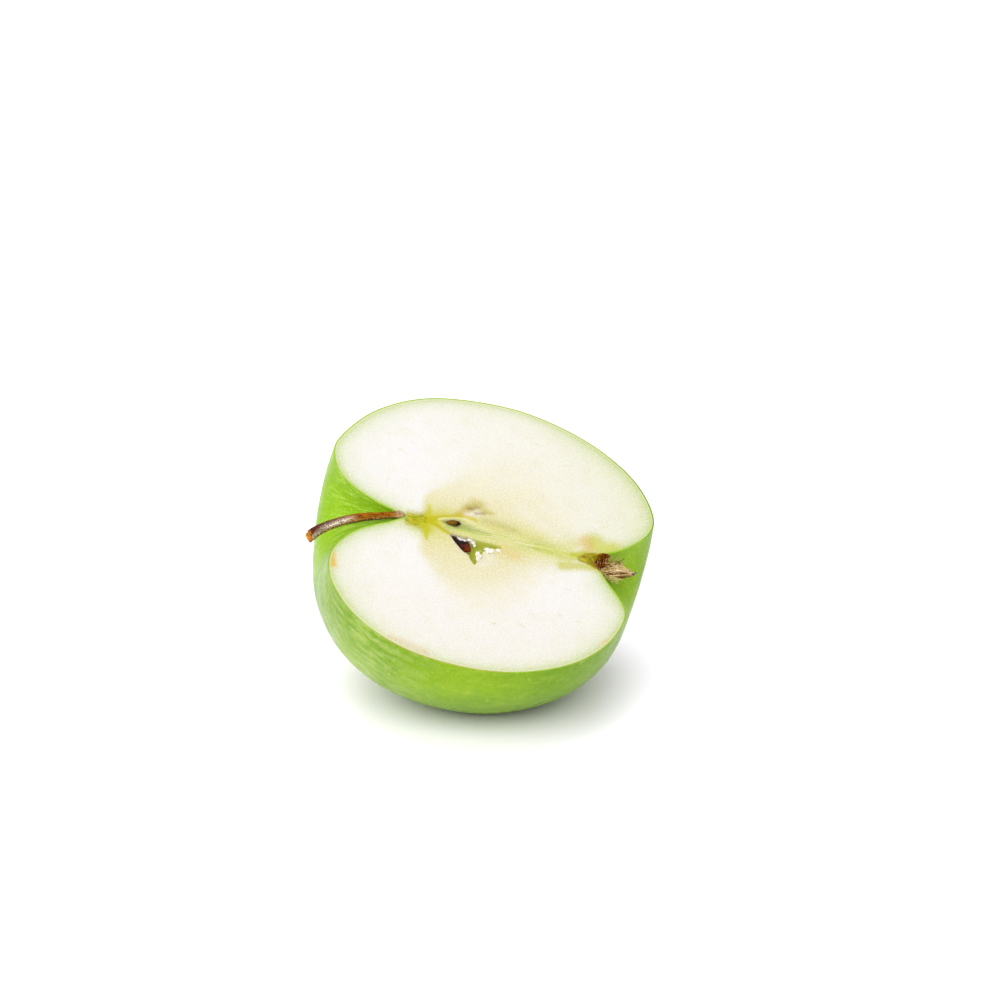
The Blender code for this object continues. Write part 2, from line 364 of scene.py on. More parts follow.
def skin_material():
    g = material_graph("skin")
    fruit = g.attribute("fruit", "Vector")
    polar = g.attribute("polar", "Vector")
    pit = g.attribute("pit")
    basin = g.attribute("basin")
    patches = g.noise(fruit, 0.045, 4.0, 0.55)
    colour = g.mix(g.ramp(patches, 0.3, 0.7), srgb(108, 150, 0), srgb(128, 166, 3))
    mottle = g.noise(fruit, 0.55, 4.0, 0.6)
    colour = g.mix(g.ramp(mottle, 0.42, 0.75, 0.0, 0.4), colour, srgb(154, 182, 38))
    streaks = g.noise(g.stretch(polar, (0.12, 14.0, 1.0)), 1.0, 4.0, 0.6)
    colour = g.mix(g.ramp(streaks, 0.5, 0.78, 0.0, 0.35), colour, srgb(160, 186, 62))
    # The stem cavity is brighter, with pale streaks down to its bottom
    colour = g.mix(g.times(pit, 0.75), colour, srgb(108, 150, 0))
    rays = g.noise(g.stretch(polar, (0.25, 9.0, 1.0)), 1.0, 3.0, 0.55, 0.4)
    colour = g.mix(g.times(g.ramp(rays, 0.48, 0.72), g.times(pit, 0.6)), colour,
                   srgb(170, 196, 82))
    # Painted shade on the belly front under the lower rim, and a painted reflection of pale streaks low
    # on the stem side
    shade = g.times(g.attribute("shade"), 0.85)
    colour = g.mix(shade, colour, (0.74, 0.76, 0.74), "MULTIPLY")
    # Painted reflection: pale streaks low on the stem side
    reflection_streaks = g.noise(g.stretch(polar, (0.2, 24.0, 1.0)), 1.0, 5.0, 0.7)
    reflection_streaks = g.times(g.ramp(reflection_streaks, 0.42, 0.62, 0.0, 0.45), g.attribute("painted_reflection"))
    colour = g.mix(reflection_streaks, colour, srgb(168, 182, 110))
    # Painted shade: the skin at the stem end's side and over the calyx half is darkened, most in blue
    colour = g.mix(g.attribute("sides"), colour, (0.76, 0.82, 0.56), "MULTIPLY")
    # Pale breathing dots, and a finer set between them
    dots = g.ramp(g.cells(fruit, 0.32), 0.035, 0.085, 1.0, 0.0)
    colour = g.mix(g.times(dots, 0.6), colour, srgb(212, 226, 132))
    specks = g.ramp(g.cells(fruit, 0.95), 0.06, 0.16, 1.0, 0.0)
    colour = g.mix(g.times(specks, 0.22), colour, srgb(206, 222, 110))
    pores = g.noise(fruit, 2.4, 3.0, 0.7)
    colour = g.mix(g.ramp(pores, 0.56, 0.7, 0.0, 0.35), colour, srgb(190, 208, 110))
    colour = g.mix(g.ramp(pores, 0.3, 0.44, 0.35, 0.0), colour, srgb(84, 124, 0))
    # The cut edge: yellow-green, darker on the upper right, browned along the lower rim
    rim = g.mix(g.attribute("deep"), flesh_tone(186, 208, 92), flesh_tone(116, 160, 14))
    rim = g.mix(g.attribute("rust"), rim, flesh_tone(206, 176, 104))
    colour = g.mix(g.attribute("cut"), colour, rim)
    # Brown lining at the bottom of the calyx basin
    grit = g.noise(fruit, 1.6, 4.0, 0.7)
    brown = g.mix(g.ramp(grit, 0.35, 0.65), srgb(44, 16, 0), srgb(128, 72, 4))
    edge = g.math("ADD", basin, g.times(grit, 1.6))
    colour = g.mix(g.ramp(edge, 5.6, 6.8, 0.6, 0.0), colour, srgb(160, 150, 60))
    colour = g.mix(g.ramp(edge, 4.6, 5.5, 1.0, 0.0), colour, brown)
    colour = g.mix(g.ramp(edge, 2.0, 2.7, 1.0, 0.0), colour, srgb(128, 116, 0))
    normal = g.bump(g.noise(fruit, 0.9, 4.0, 0.6), 0.00012, 0.5)
    rough = g.ramp(g.noise(fruit, 0.3, 3.0), 0.3, 0.7, 0.26, 0.38)
    return g.finish(colour, rough, normal, Specular_IOR_Level=0.1)


def flesh_material():
    g = material_graph("flesh")
    fruit = g.attribute("fruit", "Vector")
    colour = g.attribute("paint", "Color")
    pocket = g.attribute("pocket")
    band = g.attribute("band")
    bundle = g.attribute("bundle")
    pale = g.attribute("pale")
    # Fibres along the core, and the knotty yellow-green bundle behind the stem
    lines = g.noise(g.stretch(fruit, (0.1, 2.4, 0.5)), 1.0, 4.0, 0.6, 0.2)
    colour = g.mix(g.times(g.ramp(lines, 0.5, 0.6), g.times(band, 0.8)), colour,
                   flesh_tone(188, 200, 84))
    colour = g.mix(g.times(g.ramp(lines, 0.36, 0.48, 1.0, 0.0), g.times(band, 0.6)),
                   colour, flesh_tone(242, 238, 184))
    knots = g.noise(g.stretch(fruit, (0.9, 2.0, 1.0)), 1.0, 4.0, 0.7, 0.8)
    inner = g.ramp(bundle, 0.7, 1.0)
    dark = g.times(g.ramp(knots, 0.5, 0.6, 0.0, 0.75), inner)
    colour = g.mix(dark, colour, flesh_tone(140, 146, 0))
    light = g.times(g.ramp(knots, 0.38, 0.46, 0.5, 0.0), inner)
    colour = g.mix(light, colour, flesh_tone(232, 226, 96))
    # Moist grain: clear cells next to whiter ones
    grain = g.noise(fruit, 2.4, 4.0, 0.75)
    white = g.times(g.ramp(grain, 0.5, 0.62, 0.0, 0.5), pale)
    colour = g.mix(white, colour, flesh_tone(255, 254, 250))
    clear = g.times(g.ramp(grain, 0.36, 0.5, 0.8, 0.0), pale)
    colour = g.mix(clear, colour, (0.925, 0.91, 0.82), "MULTIPLY")
    clouds = g.noise(fruit, 0.28, 5.0, 0.65)
    clouds = g.times(g.ramp(clouds, 0.48, 0.68), pale)
    colour = g.mix(clouds, colour, (0.985, 0.975, 0.92), "MULTIPLY")
    fine = g.noise(fruit, 6.0, 3.0, 0.6)
    height = g.math("ADD", g.times(grain, 0.7), g.times(fine, 0.3))
    normal = g.bump(height, 0.0002, 0.7)
    rough = g.ramp(fine, 0.35, 0.65, 0.34, 0.55)
    rough = g.math("SUBTRACT", rough, g.times(pocket, 0.12))
    return g.finish(colour, rough, normal, Specular_IOR_Level=0.09, Subsurface_Weight=0.1,
                    Subsurface_Radius=(0.0006, 0.0005, 0.0003), Subsurface_Scale=1.0)


def stem_material():
    g = material_graph("stem")
    place = g.attribute("place", "Vector")
    tone = g.attribute("paint", "Color")
    worn_and_highlight = g.attribute("worn_and_highlight")
    fibre = g.noise(g.stretch(place, (0.35, 2.2, 1.0)), 1.6, 5.0, 0.65)
    colour = g.mix(g.ramp(fibre, 0.36, 0.56, 0.8, 0.0), tone, srgb(50, 20, 0))
    colour = g.mix(g.ramp(fibre, 0.58, 0.75, 0.0, 0.3), colour, srgb(180, 124, 24))
    flecks = g.noise(place, 3.4, 4.0, 0.75)
    # Pale patches of wear, partly a painted highlight
    patch = g.times(g.ramp(flecks, 0.44, 0.52), worn_and_highlight)
    colour = g.mix(patch, colour, srgb(226, 212, 196))
    under = g.times(g.ramp(flecks, 0.49, 0.55, 0.0, 0.9), g.attribute("under"))
    colour = g.mix(under, colour, srgb(206, 182, 120))
    normal = g.bump(g.math("ADD", fibre, g.times(flecks, 0.5)), 0.0003, 0.9)
    return g.finish(colour, g.ramp(flecks, 0.3, 0.7, 0.42, 0.75), normal, Specular_IOR_Level=0.06)


def seed_material(name, dark, light):
    g = material_graph(name)
    place = g.attribute("place", "Vector")
    tone = g.attribute("paint", "Color")
    fibre = g.noise(g.stretch(place, (0.5, 2.5, 2.5)), 1.4, 4.0, 0.6)
    colour = g.mix(g.ramp(fibre, 0.36, 0.52, 0.7, 0.0), tone, dark)
    colour = g.mix(g.ramp(fibre, 0.6, 0.8, 0.0, 0.3), colour, light)
    normal = g.bump(fibre, 0.0001, 0.5)
    return g.finish(colour, g.ramp(fibre, 0.3, 0.7, 0.4, 0.6), normal, Specular_IOR_Level=0.08)


def calyx_material():
    g = material_graph("calyx")
    place = g.attribute("place", "Vector")
    tone = g.attribute("paint", "Color")
    fibre = g.noise(g.stretch(place, (0.6, 3.2, 3.2)), 1.6, 5.0, 0.7)
    colour = g.mix(g.ramp(fibre, 0.38, 0.5, 0.85, 0.0), tone, srgb(72, 40, 2))
    light = g.times(g.ramp(fibre, 0.56, 0.68, 0.0, 0.6), g.ramp(tone, 0.03, 0.15))
    colour = g.mix(light, colour, srgb(222, 204, 162))
    flecks = g.noise(place, 4.0, 3.0, 0.7)
    colour = g.mix(g.ramp(flecks, 0.36, 0.44, 0.7, 0.0), colour, srgb(84, 48, 10))
    pale = g.times(g.ramp(flecks, 0.56, 0.64, 0.0, 0.7), g.ramp(tone, 0.05, 0.2))
    colour = g.mix(pale, colour, srgb(230, 218, 184))
    normal = g.bump(fibre, 0.0003, 0.9)
    return g.finish(colour, 0.8, normal, Specular_IOR_Level=0.03)


def pith_material():
    g = material_graph("pith")
    place = g.attribute("place", "Vector")
    fluff = g.noise(place, 3.0, 4.0, 0.7)
    colour = g.mix(g.ramp(fluff, 0.35, 0.65), srgb(204, 198, 180), srgb(234, 230, 222))
    return g.finish(colour, 0.7, g.bump(fluff, 0.0002, 0.7), Specular_IOR_Level=0.3)


def floor_material():
    g = material_graph("floor")
    place = g.node("ShaderNodeTexCoord", "Object")
    soft = g.noise(place, 3.0, 2.0, 0.5)
    colour = g.mix(soft, (0.94, 0.89, 0.985), (0.96, 0.91, 1.0))
    return g.finish(colour, 0.45, None, Specular_IOR_Level=0.3)


def fruit_surface():
    """The skin's outer points as rows around the core, and their outward directions."""
    lower = smooth_line(spline([pair[0] for pair in LOBES.values()], MERIDIAN_STEPS), 20)
    upper = smooth_line(spline([pair[1] for pair in LOBES.values()], MERIDIAN_STEPS), 20)
    theta = np.linspace(0, math.pi, ROUND_STEPS + 1)[:, None]
    share = (1 - np.cos(theta)) / 2
    u = lower[None, :, 0] * (1 - share) + upper[None, :, 0] * share
    rho = lower[None, :, 1] * (1 - share) + upper[None, :, 1] * share
    along = np.linspace(0, 1, len(lower))[None, :]
    ribs = np.sin(theta) * np.cos(RIBS * theta)
    rho = rho + RIB_HEIGHT * ribs * along ** 2 * np.sin(math.pi * along)
    bulge = np.where(u < 0, STEM_END_BULGE, CALYX_END_BULGE)
    u = u + u * bulge * np.sin(theta) * (0.7 + 0.6 * share) * np.minimum(1.0, rho / 10.0)
    points = np.stack((u, rho * np.cos(theta), -rho * np.sin(theta)), axis=2)
    points[[0, -1], :, 2] = 0.0
    d_round = np.gradient(points, axis=0)
    d_along = np.gradient(points, axis=1)
    out = np.cross(d_along, d_round)
    out /= np.maximum(np.linalg.norm(out, axis=2, keepdims=True), 1e-9)
    middle = ROUND_STEPS // 2, len(lower) // 2
    if out[middle] @ points[middle] < 0:
        out = -out
    out[:, 0] = (-1.0, 0.0, 0.0)
    out[:, -1] = (1.0, 0.0, 0.0)
    out[[0, -1], :, 2] = 0.0
    out /= np.linalg.norm(out, axis=2, keepdims=True)
    return points, out


def flatten(points, lift):
    """Presses what would reach below the ground up onto it."""
    height = points @ AXES[:, 2] + ORIGIN[2]
    push = np.maximum(0.0, lift - height)
    return points + push[..., None] * AXES[:, 2]


def grid_points(points):
    """Rows of a surface as a point list, with one point at each end of the core."""
    rows, count = points.shape[:2]
    flat = np.vstack((points[0, :1], points[0, -1:], points[:, 1:-1].reshape(-1, 3)))

    def index(j, i):
        if i == 0:
            return 0
        if i == count - 1:
            return 1
        return 2 + j * (count - 2) + i - 1

    faces = []
    for j in range(rows - 1):
        faces.append((0, index(j, 1), index(j + 1, 1)))
        faces.append((1, index(j + 1, count - 2), index(j, count - 2)))
        for i in range(1, count - 2):
            faces.append((index(j, i), index(j, i + 1), index(j + 1, i + 1), index(j + 1, i)))
    return flat, faces, index


def make_skin(points, out):
    """A thin closed shell with its cut edge in the plane of the face."""
    outer, faces, index = grid_points(flatten(points, 0.0))
    inner, _, _ = grid_points(flatten(points - out * SKIN_THICKNESS, SKIN_THICKNESS))
    shift = len(outer)
    faces += shifted([face[::-1] for face in faces], shift)
    rows, count = points.shape[:2]
    for j in (0, rows - 1):
        for i in range(count - 1):
            a, b = index(j, i), index(j, i + 1)
            faces.append((a, b, shift + b, shift + a))
    both = np.vstack((outer, inner))
    length = lengths(points[rows // 2])
    theta = np.linspace(0, math.pi, rows)
    around = np.meshgrid(length, theta)
    polar, _, _ = grid_points(np.stack((*around, 0 * around[0]), axis=2))
    polar = np.vstack((polar, polar))
    u, v = both[:, 0], both[:, 1]
    height = both @ AXES[:, 2] + ORIGIN[2]
    # Where painted shade darkens the skin: the stem end's front side and, at 0.6 strength, the calyx
    # half
    sides = smoothstep(-20.0, -26.0, u) * smoothstep(4.0, 12.0, v)
    sides *= 1 - 0.5 * smoothstep(14.0, 22.0, v)
    marks = {
        "fruit": both,
        "polar": polar,
        "pit": 1 - smoothstep(11.0, 26.0, polar[:, 0]),
        "basin": length[-1] - polar[:, 0] + 4.0 * smoothstep(-1.3, -2.1, v - 0.9 * both[:, 2]),
        "cut": np.repeat((0.0, 1.0), shift),
        "deep": smoothstep(20, 34, u) * smoothstep(-2, -8, v),
        "rust": smoothstep(30, 34, v) * smoothstep(-20, -14, u) * (1 - smoothstep(6, 14, u)),
        # painted shade on the belly front under the lower rim
        "shade": smoothstep(8.0, 26.0, height) * smoothstep(8.0, 24.0, v),
        # painted reflection low on the stem side
        "painted_reflection": smoothstep(2.0, -18.0, u) * smoothstep(12.0, 24.0, v),
        "sides": np.maximum(sides, 0.6 * smoothstep(8.0, 24.0, u)),
    }
    return add_mesh("skin", both, faces, skin_material(), marks)


def pocket_depths(u, v):
    """How deep the two seed chambers are under each place of the face, and how far inside each it is."""
    upper = inside_distance(u, v, UPPER_CHAMBER)
    lower = inside_distance(u, v, LOWER_CHAMBER)
    deep_upper = UPPER_CHAMBER_DEPTH * (1 - np.exp(-np.maximum(upper, 0) / 0.4))
    deep_lower = LOWER_CHAMBER_DEPTH * (1 - np.exp(-np.maximum(lower, 0) / 0.65))
    return deep_upper, deep_lower, upper, lower


def face_heights(points, rim_gap):
    """Relief of the cut face."""
    u, v = points[:, 0], points[:, 1]
    deep_upper, deep_lower, _, _ = pocket_depths(u, v)
    height = -deep_upper - deep_lower
    inner = smoothstep(0.0, 1.5, rim_gap)
    height += 0.06 * noise_at(points, 5.0, 2.0) * inner
    height += 0.025 * noise_at(points, 0.7, 5.0) * inner
    band = np.exp(-(v / 2.0) ** 2) * smoothstep(-9, -5, u) * (1 - smoothstep(18, 26, u))
    lines = np.stack((u * 0.12, v * 2.2, 0 * u), axis=1)
    height += 0.1 * noise_at(lines, 1.0, 3.0) * band * inner
    height -= 0.4 * np.exp(-((u + 14.6) ** 2 + (v + 0.2) ** 2) / 0.5)
    return height


def lay(colour, mask, tint):
    """Lays a tint over the colours where the mask says."""
    mask = np.clip(mask, 0, 1)[:, None]
    return colour * (1 - mask) + np.array(tint) * mask


def stroke(u, v, points, width, taper=0.0, power=2):
    """Soft line through points: thinner at its end by the taper share, fuller for a higher power."""
    gap, along = polyline_distance(u, v, points)
    reach = width * (1 - taper * along)
    return np.exp(-(gap / reach) ** power)


def strokes(colour, u, v, rows, power=2):
    """Lays soft lines over the colours; a row is path, half width, strength, tint and any taper."""
    for path, width, strength, tint, *taper in rows:
        line = stroke(u, v, path, width, *taper, power=power)
        colour = lay(colour, strength * line, flesh_tone(*tint))
    return colour


def paint_flesh(points, rim_gap):
    """Colours of the cut face: cream core, green bundles, chamber linings, tinted rim, browned spots."""
    u, v = points[:, 0].copy(), points[:, 1].copy()
    wobble = noise_at(points, 2.2, 7.0)
    broad = noise_at(points, 8.0, 27.0)
    u += 0.16 * wobble
    v += 0.16 * noise_at(points, 2.2, 17.0)
    colour = plain(flesh_tone(253, 250, 249), points)
    colour = lay(colour, 0.8 * smoothstep(6, 26, v), flesh_tone(250, 245, 238))
    colour = lay(colour, 0.8 * smoothstep(-16, 0, u) * smoothstep(4, -6, v), flesh_tone(250, 247, 237))
    colour = lay(colour, 0.7 * smoothstep(8, 32, u) * smoothstep(4, -14, v), flesh_tone(245, 243, 222))

    # Cream field around the core in three steps, sharply bounded towards the stem end
    beside = np.maximum(np.abs(v - 1.0) - 8.0, 0)
    below = smoothstep(4.0, 8.0, v)
    soft = 0.8 + 0.35 * beside + 0.9 * below
    start = smoothstep(-1.0, 1.0, (u + 10.5 - 0.8 * beside - 0.7 * below + 1.2 * broad) / soft)
    far = 25.0 - 0.5 * np.maximum(v, 0)
    cream = (
        (np.where(v < 0, 21.5, 24.0), -1.5, 18.0, 0.85, (246, 239, 204)),
        (np.where(v < 0, 10.0, 15.0), 0.5, 16.0, 0.85, (236, 227, 168)),
        (np.full(v.shape, 4.8), 0.5, 4.0, 0.8, (226, 222, 132)),
    )
    for reach, middle, soft, strength, tint in cream:
        field = start * np.exp(-(np.abs(v - middle) / reach) ** 2.8 + 0.25 * broad)
        field *= 1 - smoothstep(far - soft, far, u + 2.0 * wobble)
        colour = lay(colour, strength * field, flesh_tone(*tint))

    # Rim: green bleeding into the flesh, wider on the upper right
    wide = 1.0 + 0.8 * smoothstep(5, 25, u) * smoothstep(0, -15, v) + 0.25 * wobble
    wide += 0.35 * smoothstep(-12, -22, u) + 0.35 * smoothstep(18, 26, u) * smoothstep(2, 8, v)
    wide = np.maximum(wide + 0.9 * np.exp(-np.hypot(u - 30, v - 8) / 3.0), 0.4)
    colour = lay(colour, 0.55 * np.exp(-rim_gap / (2.6 * wide)), flesh_tone(222, 230, 166))
    colour = lay(colour, 0.75 * np.exp(-rim_gap / (0.7 * wide)), flesh_tone(176, 206, 62))

    # Pale green band of fibres along the core
    band = np.exp(-(np.abs(v - 0.05 * (u - 4) - 0.3) / 1.9) ** 3)
    band *= smoothstep(-7, -2, u) * (1 - smoothstep(19, 25, u))
    colour = lay(colour, 0.85 * band, flesh_tone(226, 226, 142))
    ragged = np.maximum(5.2 + 0.25 * u + 0.5 * noise_at(points, 0.9, 37.0), 0.5)
    bundle = np.exp(-(np.abs(v - 0.25) / ragged) ** 4) * smoothstep(-14.6, -13.8, u)
    bundle *= 1 - smoothstep(-10.2, -7.8, u)

    # Yellow-green bundle behind the stem, with its branches
    colour = strokes(colour, u, v, (
        (((-15.0, 1.6), (-11.0, 3.4)), 2.2, 0.4, (222, 228, 150)),
        (((-12.8, 1.2), (-9.4, 2.4)), 1.7, 0.7, (212, 214, 60)),
    ))
    colour = lay(colour, 0.995 * bundle, flesh_tone(182, 178, 0))
    glow = stroke(u, v, ((-10.5, 0.4), (-9.0, -0.2), (-6.4, -1.6)), 2.6)
    colour = lay(colour, 0.75 * glow * np.maximum(start, 0.2), flesh_tone(210, 204, 24))
    colour = strokes(colour, u, v, (
        (((-8.8, -0.6), (-9.2, -2.0), (-9.5, -4.4)), 1.05, 0.7, (210, 206, 50), 0.6),
        (((-10.4, 0.8), (-9.6, 2.4), (-9.1, 5.0)), 0.9, 0.85, (206, 202, 30), 0.6),
        (((-9.4, -0.6), (-7.0, -1.6), (-5.0, -2.5), (-3.0, -3.2)), 0.72, 0.92, (200, 192, 2), 0.2),
        (((-3.0, -3.2), (-1.2, -3.5), (0.6, -3.0)), 0.85, 0.75, (214, 202, 46), 0.4),
        (((-3.4, -3.4), (-2.2, -4.8), (-1.4, -6.0)), 1.1, 0.7, (206, 184, 62), 0.0),
        (((-9.4, -0.3), (-7.4, 0.6), (-4.8, 2.1)), 0.66, 0.97, (202, 192, 0), 0.3),
        (((-7.2, -1.2), (-4.6, -2.3), (-1.8, -2.7), (1.4, -1.6), (4.4, -0.9)), 0.32, 0.8,
         (240, 236, 164), 0.4),
        (((-6.4, 0.5), (-4.6, 1.3), (-3.4, 1.7)), 0.3, 0.55, (200, 186, 120), 0.2),
        (((-5.4, 0.5), (-2.4, 0.6), (0.4, 0.5), (4.0, 0.3)), 0.38, 0.7, (182, 202, 80), 0.5),
    ), power=3)

    # Third chamber just under the face: tan and purplish marks, and the olive streak beside the band
    colour = strokes(colour, u, v, (
        (((-1.4, -6.2), (-0.4, -7.2), (0.8, -7.4)), 1.2, 0.75, (198, 178, 86)),
        (((0.8, -7.6), (1.8, -6.4)), 1.5, 0.5, (214, 204, 112)),
        (((-1.2, -5.8), (-0.3, -6.0)), 0.42, 0.7, (140, 112, 56)),
        (((0.0, -6.8), (0.6, -6.7)), 0.4, 0.55, (150, 124, 60)),
        (((-1.6, -4.2), (0.0, -4.6), (0.9, -5.2)), 0.62, 0.65, (246, 230, 220)),
        (((0.3, -4.9), (1.2, -5.2), (2.2, -5.6)), 0.36, 0.75, (166, 138, 112)),
        (((2.2, -6.0), (3.6, -5.9)), 0.75, 0.6, (196, 188, 66)),
        (((-0.9, -8.6), (0.4, -8.4)), 0.7, 0.45, (222, 206, 110)),
        (((2.4, -3.4), (5.2, -3.2), (8.6, -2.6)), 1.1, 0.6, (200, 192, 106)),
        (((8.0, -2.6), (13.0, -1.4), (18.0, -0.4)), 0.6, 0.35, (208, 206, 112)),
        (((6.8, 3.2), (9.8, 4.6)), 1.6, 0.65, (234, 210, 134)),
        (((9.5, -8.5), (14.0, -6.0), (17.5, -3.8)), 2.1, 0.5, (249, 244, 228)),
        (((4.0, 5.6), (4.6, 7.6), (3.0, 8.6)), 1.3, 0.55, (248, 240, 226)),
        (((-4.0, 3.0), (-2.4, 5.2), (-1.0, 6.8)), 0.6, 0.6, (242, 222, 202)),
    ))

    # Chamber linings, with painted shade darker deeper down in both chambers and under the upper seed
    deep_upper, deep_lower, in_upper, in_lower = pocket_depths(points[:, 0], points[:, 1])
    colour = lay(colour, smoothstep(-0.1, 0.2, in_upper), flesh_tone(236, 242, 164))
    shade_under_seed = smoothstep(0.2, 1.2, deep_upper) * np.exp(-((u + 2.0) / 3.2) ** 2)
    colour = lay(colour, 0.6 * shade_under_seed, flesh_tone(176, 190, 60))
    colour = lay(colour, smoothstep(-0.1, 0.15, in_lower), flesh_tone(214, 222, 84))
    # painted shade: the lower chamber's olive lining darker further down
    colour = lay(colour, 0.6 * smoothstep(0.6, 2.4, deep_lower), flesh_tone(200, 212, 60))
    flap = smoothstep(-0.1, 0.15, in_lower) * smoothstep(0.8, 0.2, u) * smoothstep(4.4, 3.6, v)
    colour = lay(colour, 0.9 * flap, flesh_tone(240, 222, 180))

    # Yellow funnel into the calyx, the peach patch above it and the line below it
    colour = strokes(colour, u, v, (
        (((14.0, 1.0), (20.0, 1.4), (23.0, 1.2)), 1.2, 0.6, (216, 216, 100)),
        (((25.8, -4.2), (27.4, -2.8), (29.4, -3.0)), 2.5, 0.85, (212, 214, 84)),
        (((24.2, -3.6), (24.8, -1.6)), 1.5, 0.7, (220, 192, 84)),
        (((22.6, -2.4), (23.8, -4.4)), 1.4, 0.45, (234, 210, 140)),
        (((19.6, 4.4), (23.4, 3.5), (26.0, 3.2)), 1.2, 0.8, (208, 206, 70)),
        (((21.4, 1.0), (24.0, -0.4)), 0.8, 0.8, (200, 202, 20)),
    ), power=3)
    mouth = inside_distance(u, v, FUNNEL)
    colour = lay(colour, smoothstep(-0.45, 0.15, mouth), flesh_tone(170, 162, 0))
    deep_end = smoothstep(-0.1, 0.5, mouth) * smoothstep(24.2, 25.6, u)
    colour = lay(colour, 0.9 * deep_end, flesh_tone(136, 124, 0))
    colour = strokes(colour, u, v, (
        (((23.5, 0.7), (24.1, 0.6)), 0.28, 0.8, (134, 84, 4)),
        (((23.4, 1.4), (24.2, 1.7)), 0.28, 0.8, (206, 186, 40)),
    ), power=3)

    # Browned spots on the rim
    colour = strokes(colour, u, v, (
        (((-28.2, 14.2), (-27.2, 17.4)), 0.85, 0.85, (238, 190, 60)),
        (((-13.6, 33.4), (-6.0, 35.3)), 0.9, 0.5, (234, 204, 164)),
        (((29.4, 23.4), (30.9, 22.0)), 0.5, 0.5, (236, 200, 120)),
    ))

    # Green ends of small vessels in the flesh
    draw = random.Random(5)
    for k in range(VESSEL_ENDS):
        angle = draw.uniform(0.25, 2.9) * (1 if k % 2 else -1)
        reach = draw.uniform(0.66, 0.86)
        at = np.array((3.0 - 30.5 * reach * math.cos(angle), 37.0 * reach * math.sin(angle)))
        turn = draw.uniform(-0.6, 0.6)
        way = draw.uniform(0.15, 0.7) * np.array((math.cos(turn), math.sin(turn)))
        strength = draw.uniform(0.12, 0.36)
        colour = strokes(colour, u, v, (((at - way, at + way), 0.22, strength, (206, 216, 116)),))
    pocket = np.clip(deep_upper / 1.5 + deep_lower / 2, 0, 1)
    pale = smoothstep(0.05, 0.5, colour.min(axis=1) / colour.max(axis=1))
    return colour, {"pocket": pocket, "band": band * (1 - pocket), "bundle": bundle, "pale": pale}


def make_flesh(points, out):
    """The flesh as one closed solid: a finely divided cut face, and a wall hidden under the skin."""
    body = flatten(points - out * (SKIN_THICKNESS + SKIN_ROOM), SKIN_THICKNESS + SKIN_ROOM)
    body[[0, -1], :, 2] = 0.0
    hidden = body[::HIDDEN_EVERY]
    wall, faces, index = grid_points(hidden)
    rows, count = hidden.shape[:2]
    share = lengths(body[0]) + lengths(body[-1])
    share /= share[-1]
    start, end = wall[0, 0], wall[1, 0]
    core = np.stack((start + (end - start) * share, 0 * share, 0 * share), axis=1)
    verts = [wall, core[1:-1]]
    total = len(wall)
    core_index = [0, *range(total, total + count - 2), 1]
    total += count - 2
    for rim, row in ((body[0], 0), (body[-1], rows - 1)):
        previous = core_index
        for k in range(1, FACE_STEPS + 1):
            t = (k / FACE_STEPS) ** FACE_SPREAD
            if k == FACE_STEPS:
                current = [index(row, i) for i in range(count)]
            else:
                current = [0, *range(total, total + count - 2), 1]
                verts.append((core * (1 - t) + rim * t)[1:-1])
                total += count - 2
            for i in range(count - 1):
                quad = (previous[i], previous[i + 1], current[i + 1], current[i])
                faces.append(tuple(dict.fromkeys(quad)))
            previous = current
    everything = np.vstack(verts)
    on_face = np.zeros(len(everything), bool)
    on_face[len(wall):] = True
    lines = everything.copy()
    rim_gap = true_rim_gap(lines[on_face], body)
    lines[on_face, 2] += face_heights(lines[on_face], rim_gap)
    colour = plain(flesh_tone(240, 236, 200), everything)
    colour[on_face], marks = paint_flesh(everything[on_face], rim_gap)
    values = {"fruit": lines}
    for key, data in marks.items():
        values[key] = np.zeros(len(everything))
        values[key][on_face] = data
    return add_mesh("flesh_half", lines, faces, flesh_material(), values, colour, sharp=70.0)


def true_rim_gap(points, body):
    """Distance of face points to the nearest rim."""
    u, v = points[:, 0], points[:, 1]
    low, _ = polyline_distance(u, v, body[0][::3, :2])
    high, _ = polyline_distance(u, v, body[-1][::3, :2])
    return np.minimum(low, high)


def tube_points(line, radii, sides, shape=None):
    """Rings along a line, with the cut ends closed by a point; gives points, faces and ring places."""
    line = np.asarray(line, float)
    count = len(line)
    points, place = [], []
    length = lengths(line)
    for i in range(count):
        first, second = cross_axes(line, i)
        for k in range(sides):
            angle = 2 * math.pi * k / sides
            reach = radii[i] * (shape(angle, i / (count - 1)) if shape else 1.0)
            p = Vector(line[i]) + first * (reach * math.cos(angle)) + second * (reach * math.sin(angle))
            points.append(tuple(p))
            place.append((length[i], math.cos(angle) * radii[i], math.sin(angle) * radii[i]))
    faces = []
    for start in range(0, (count - 1) * sides, sides):
        for k in range(sides):
            n = (k + 1) % sides
            faces.append((start + k, start + n, start + sides + n, start + sides + k))
    for row in (0, count - 1):
        points.append(tuple(line[row]))
        place.append((length[row], 0.0, 0.0))
        for k in range(sides):
            faces.append((row * sides + k, row * sides + (k + 1) % sides, len(points) - 1))
    return np.array(points), faces, np.array(place)


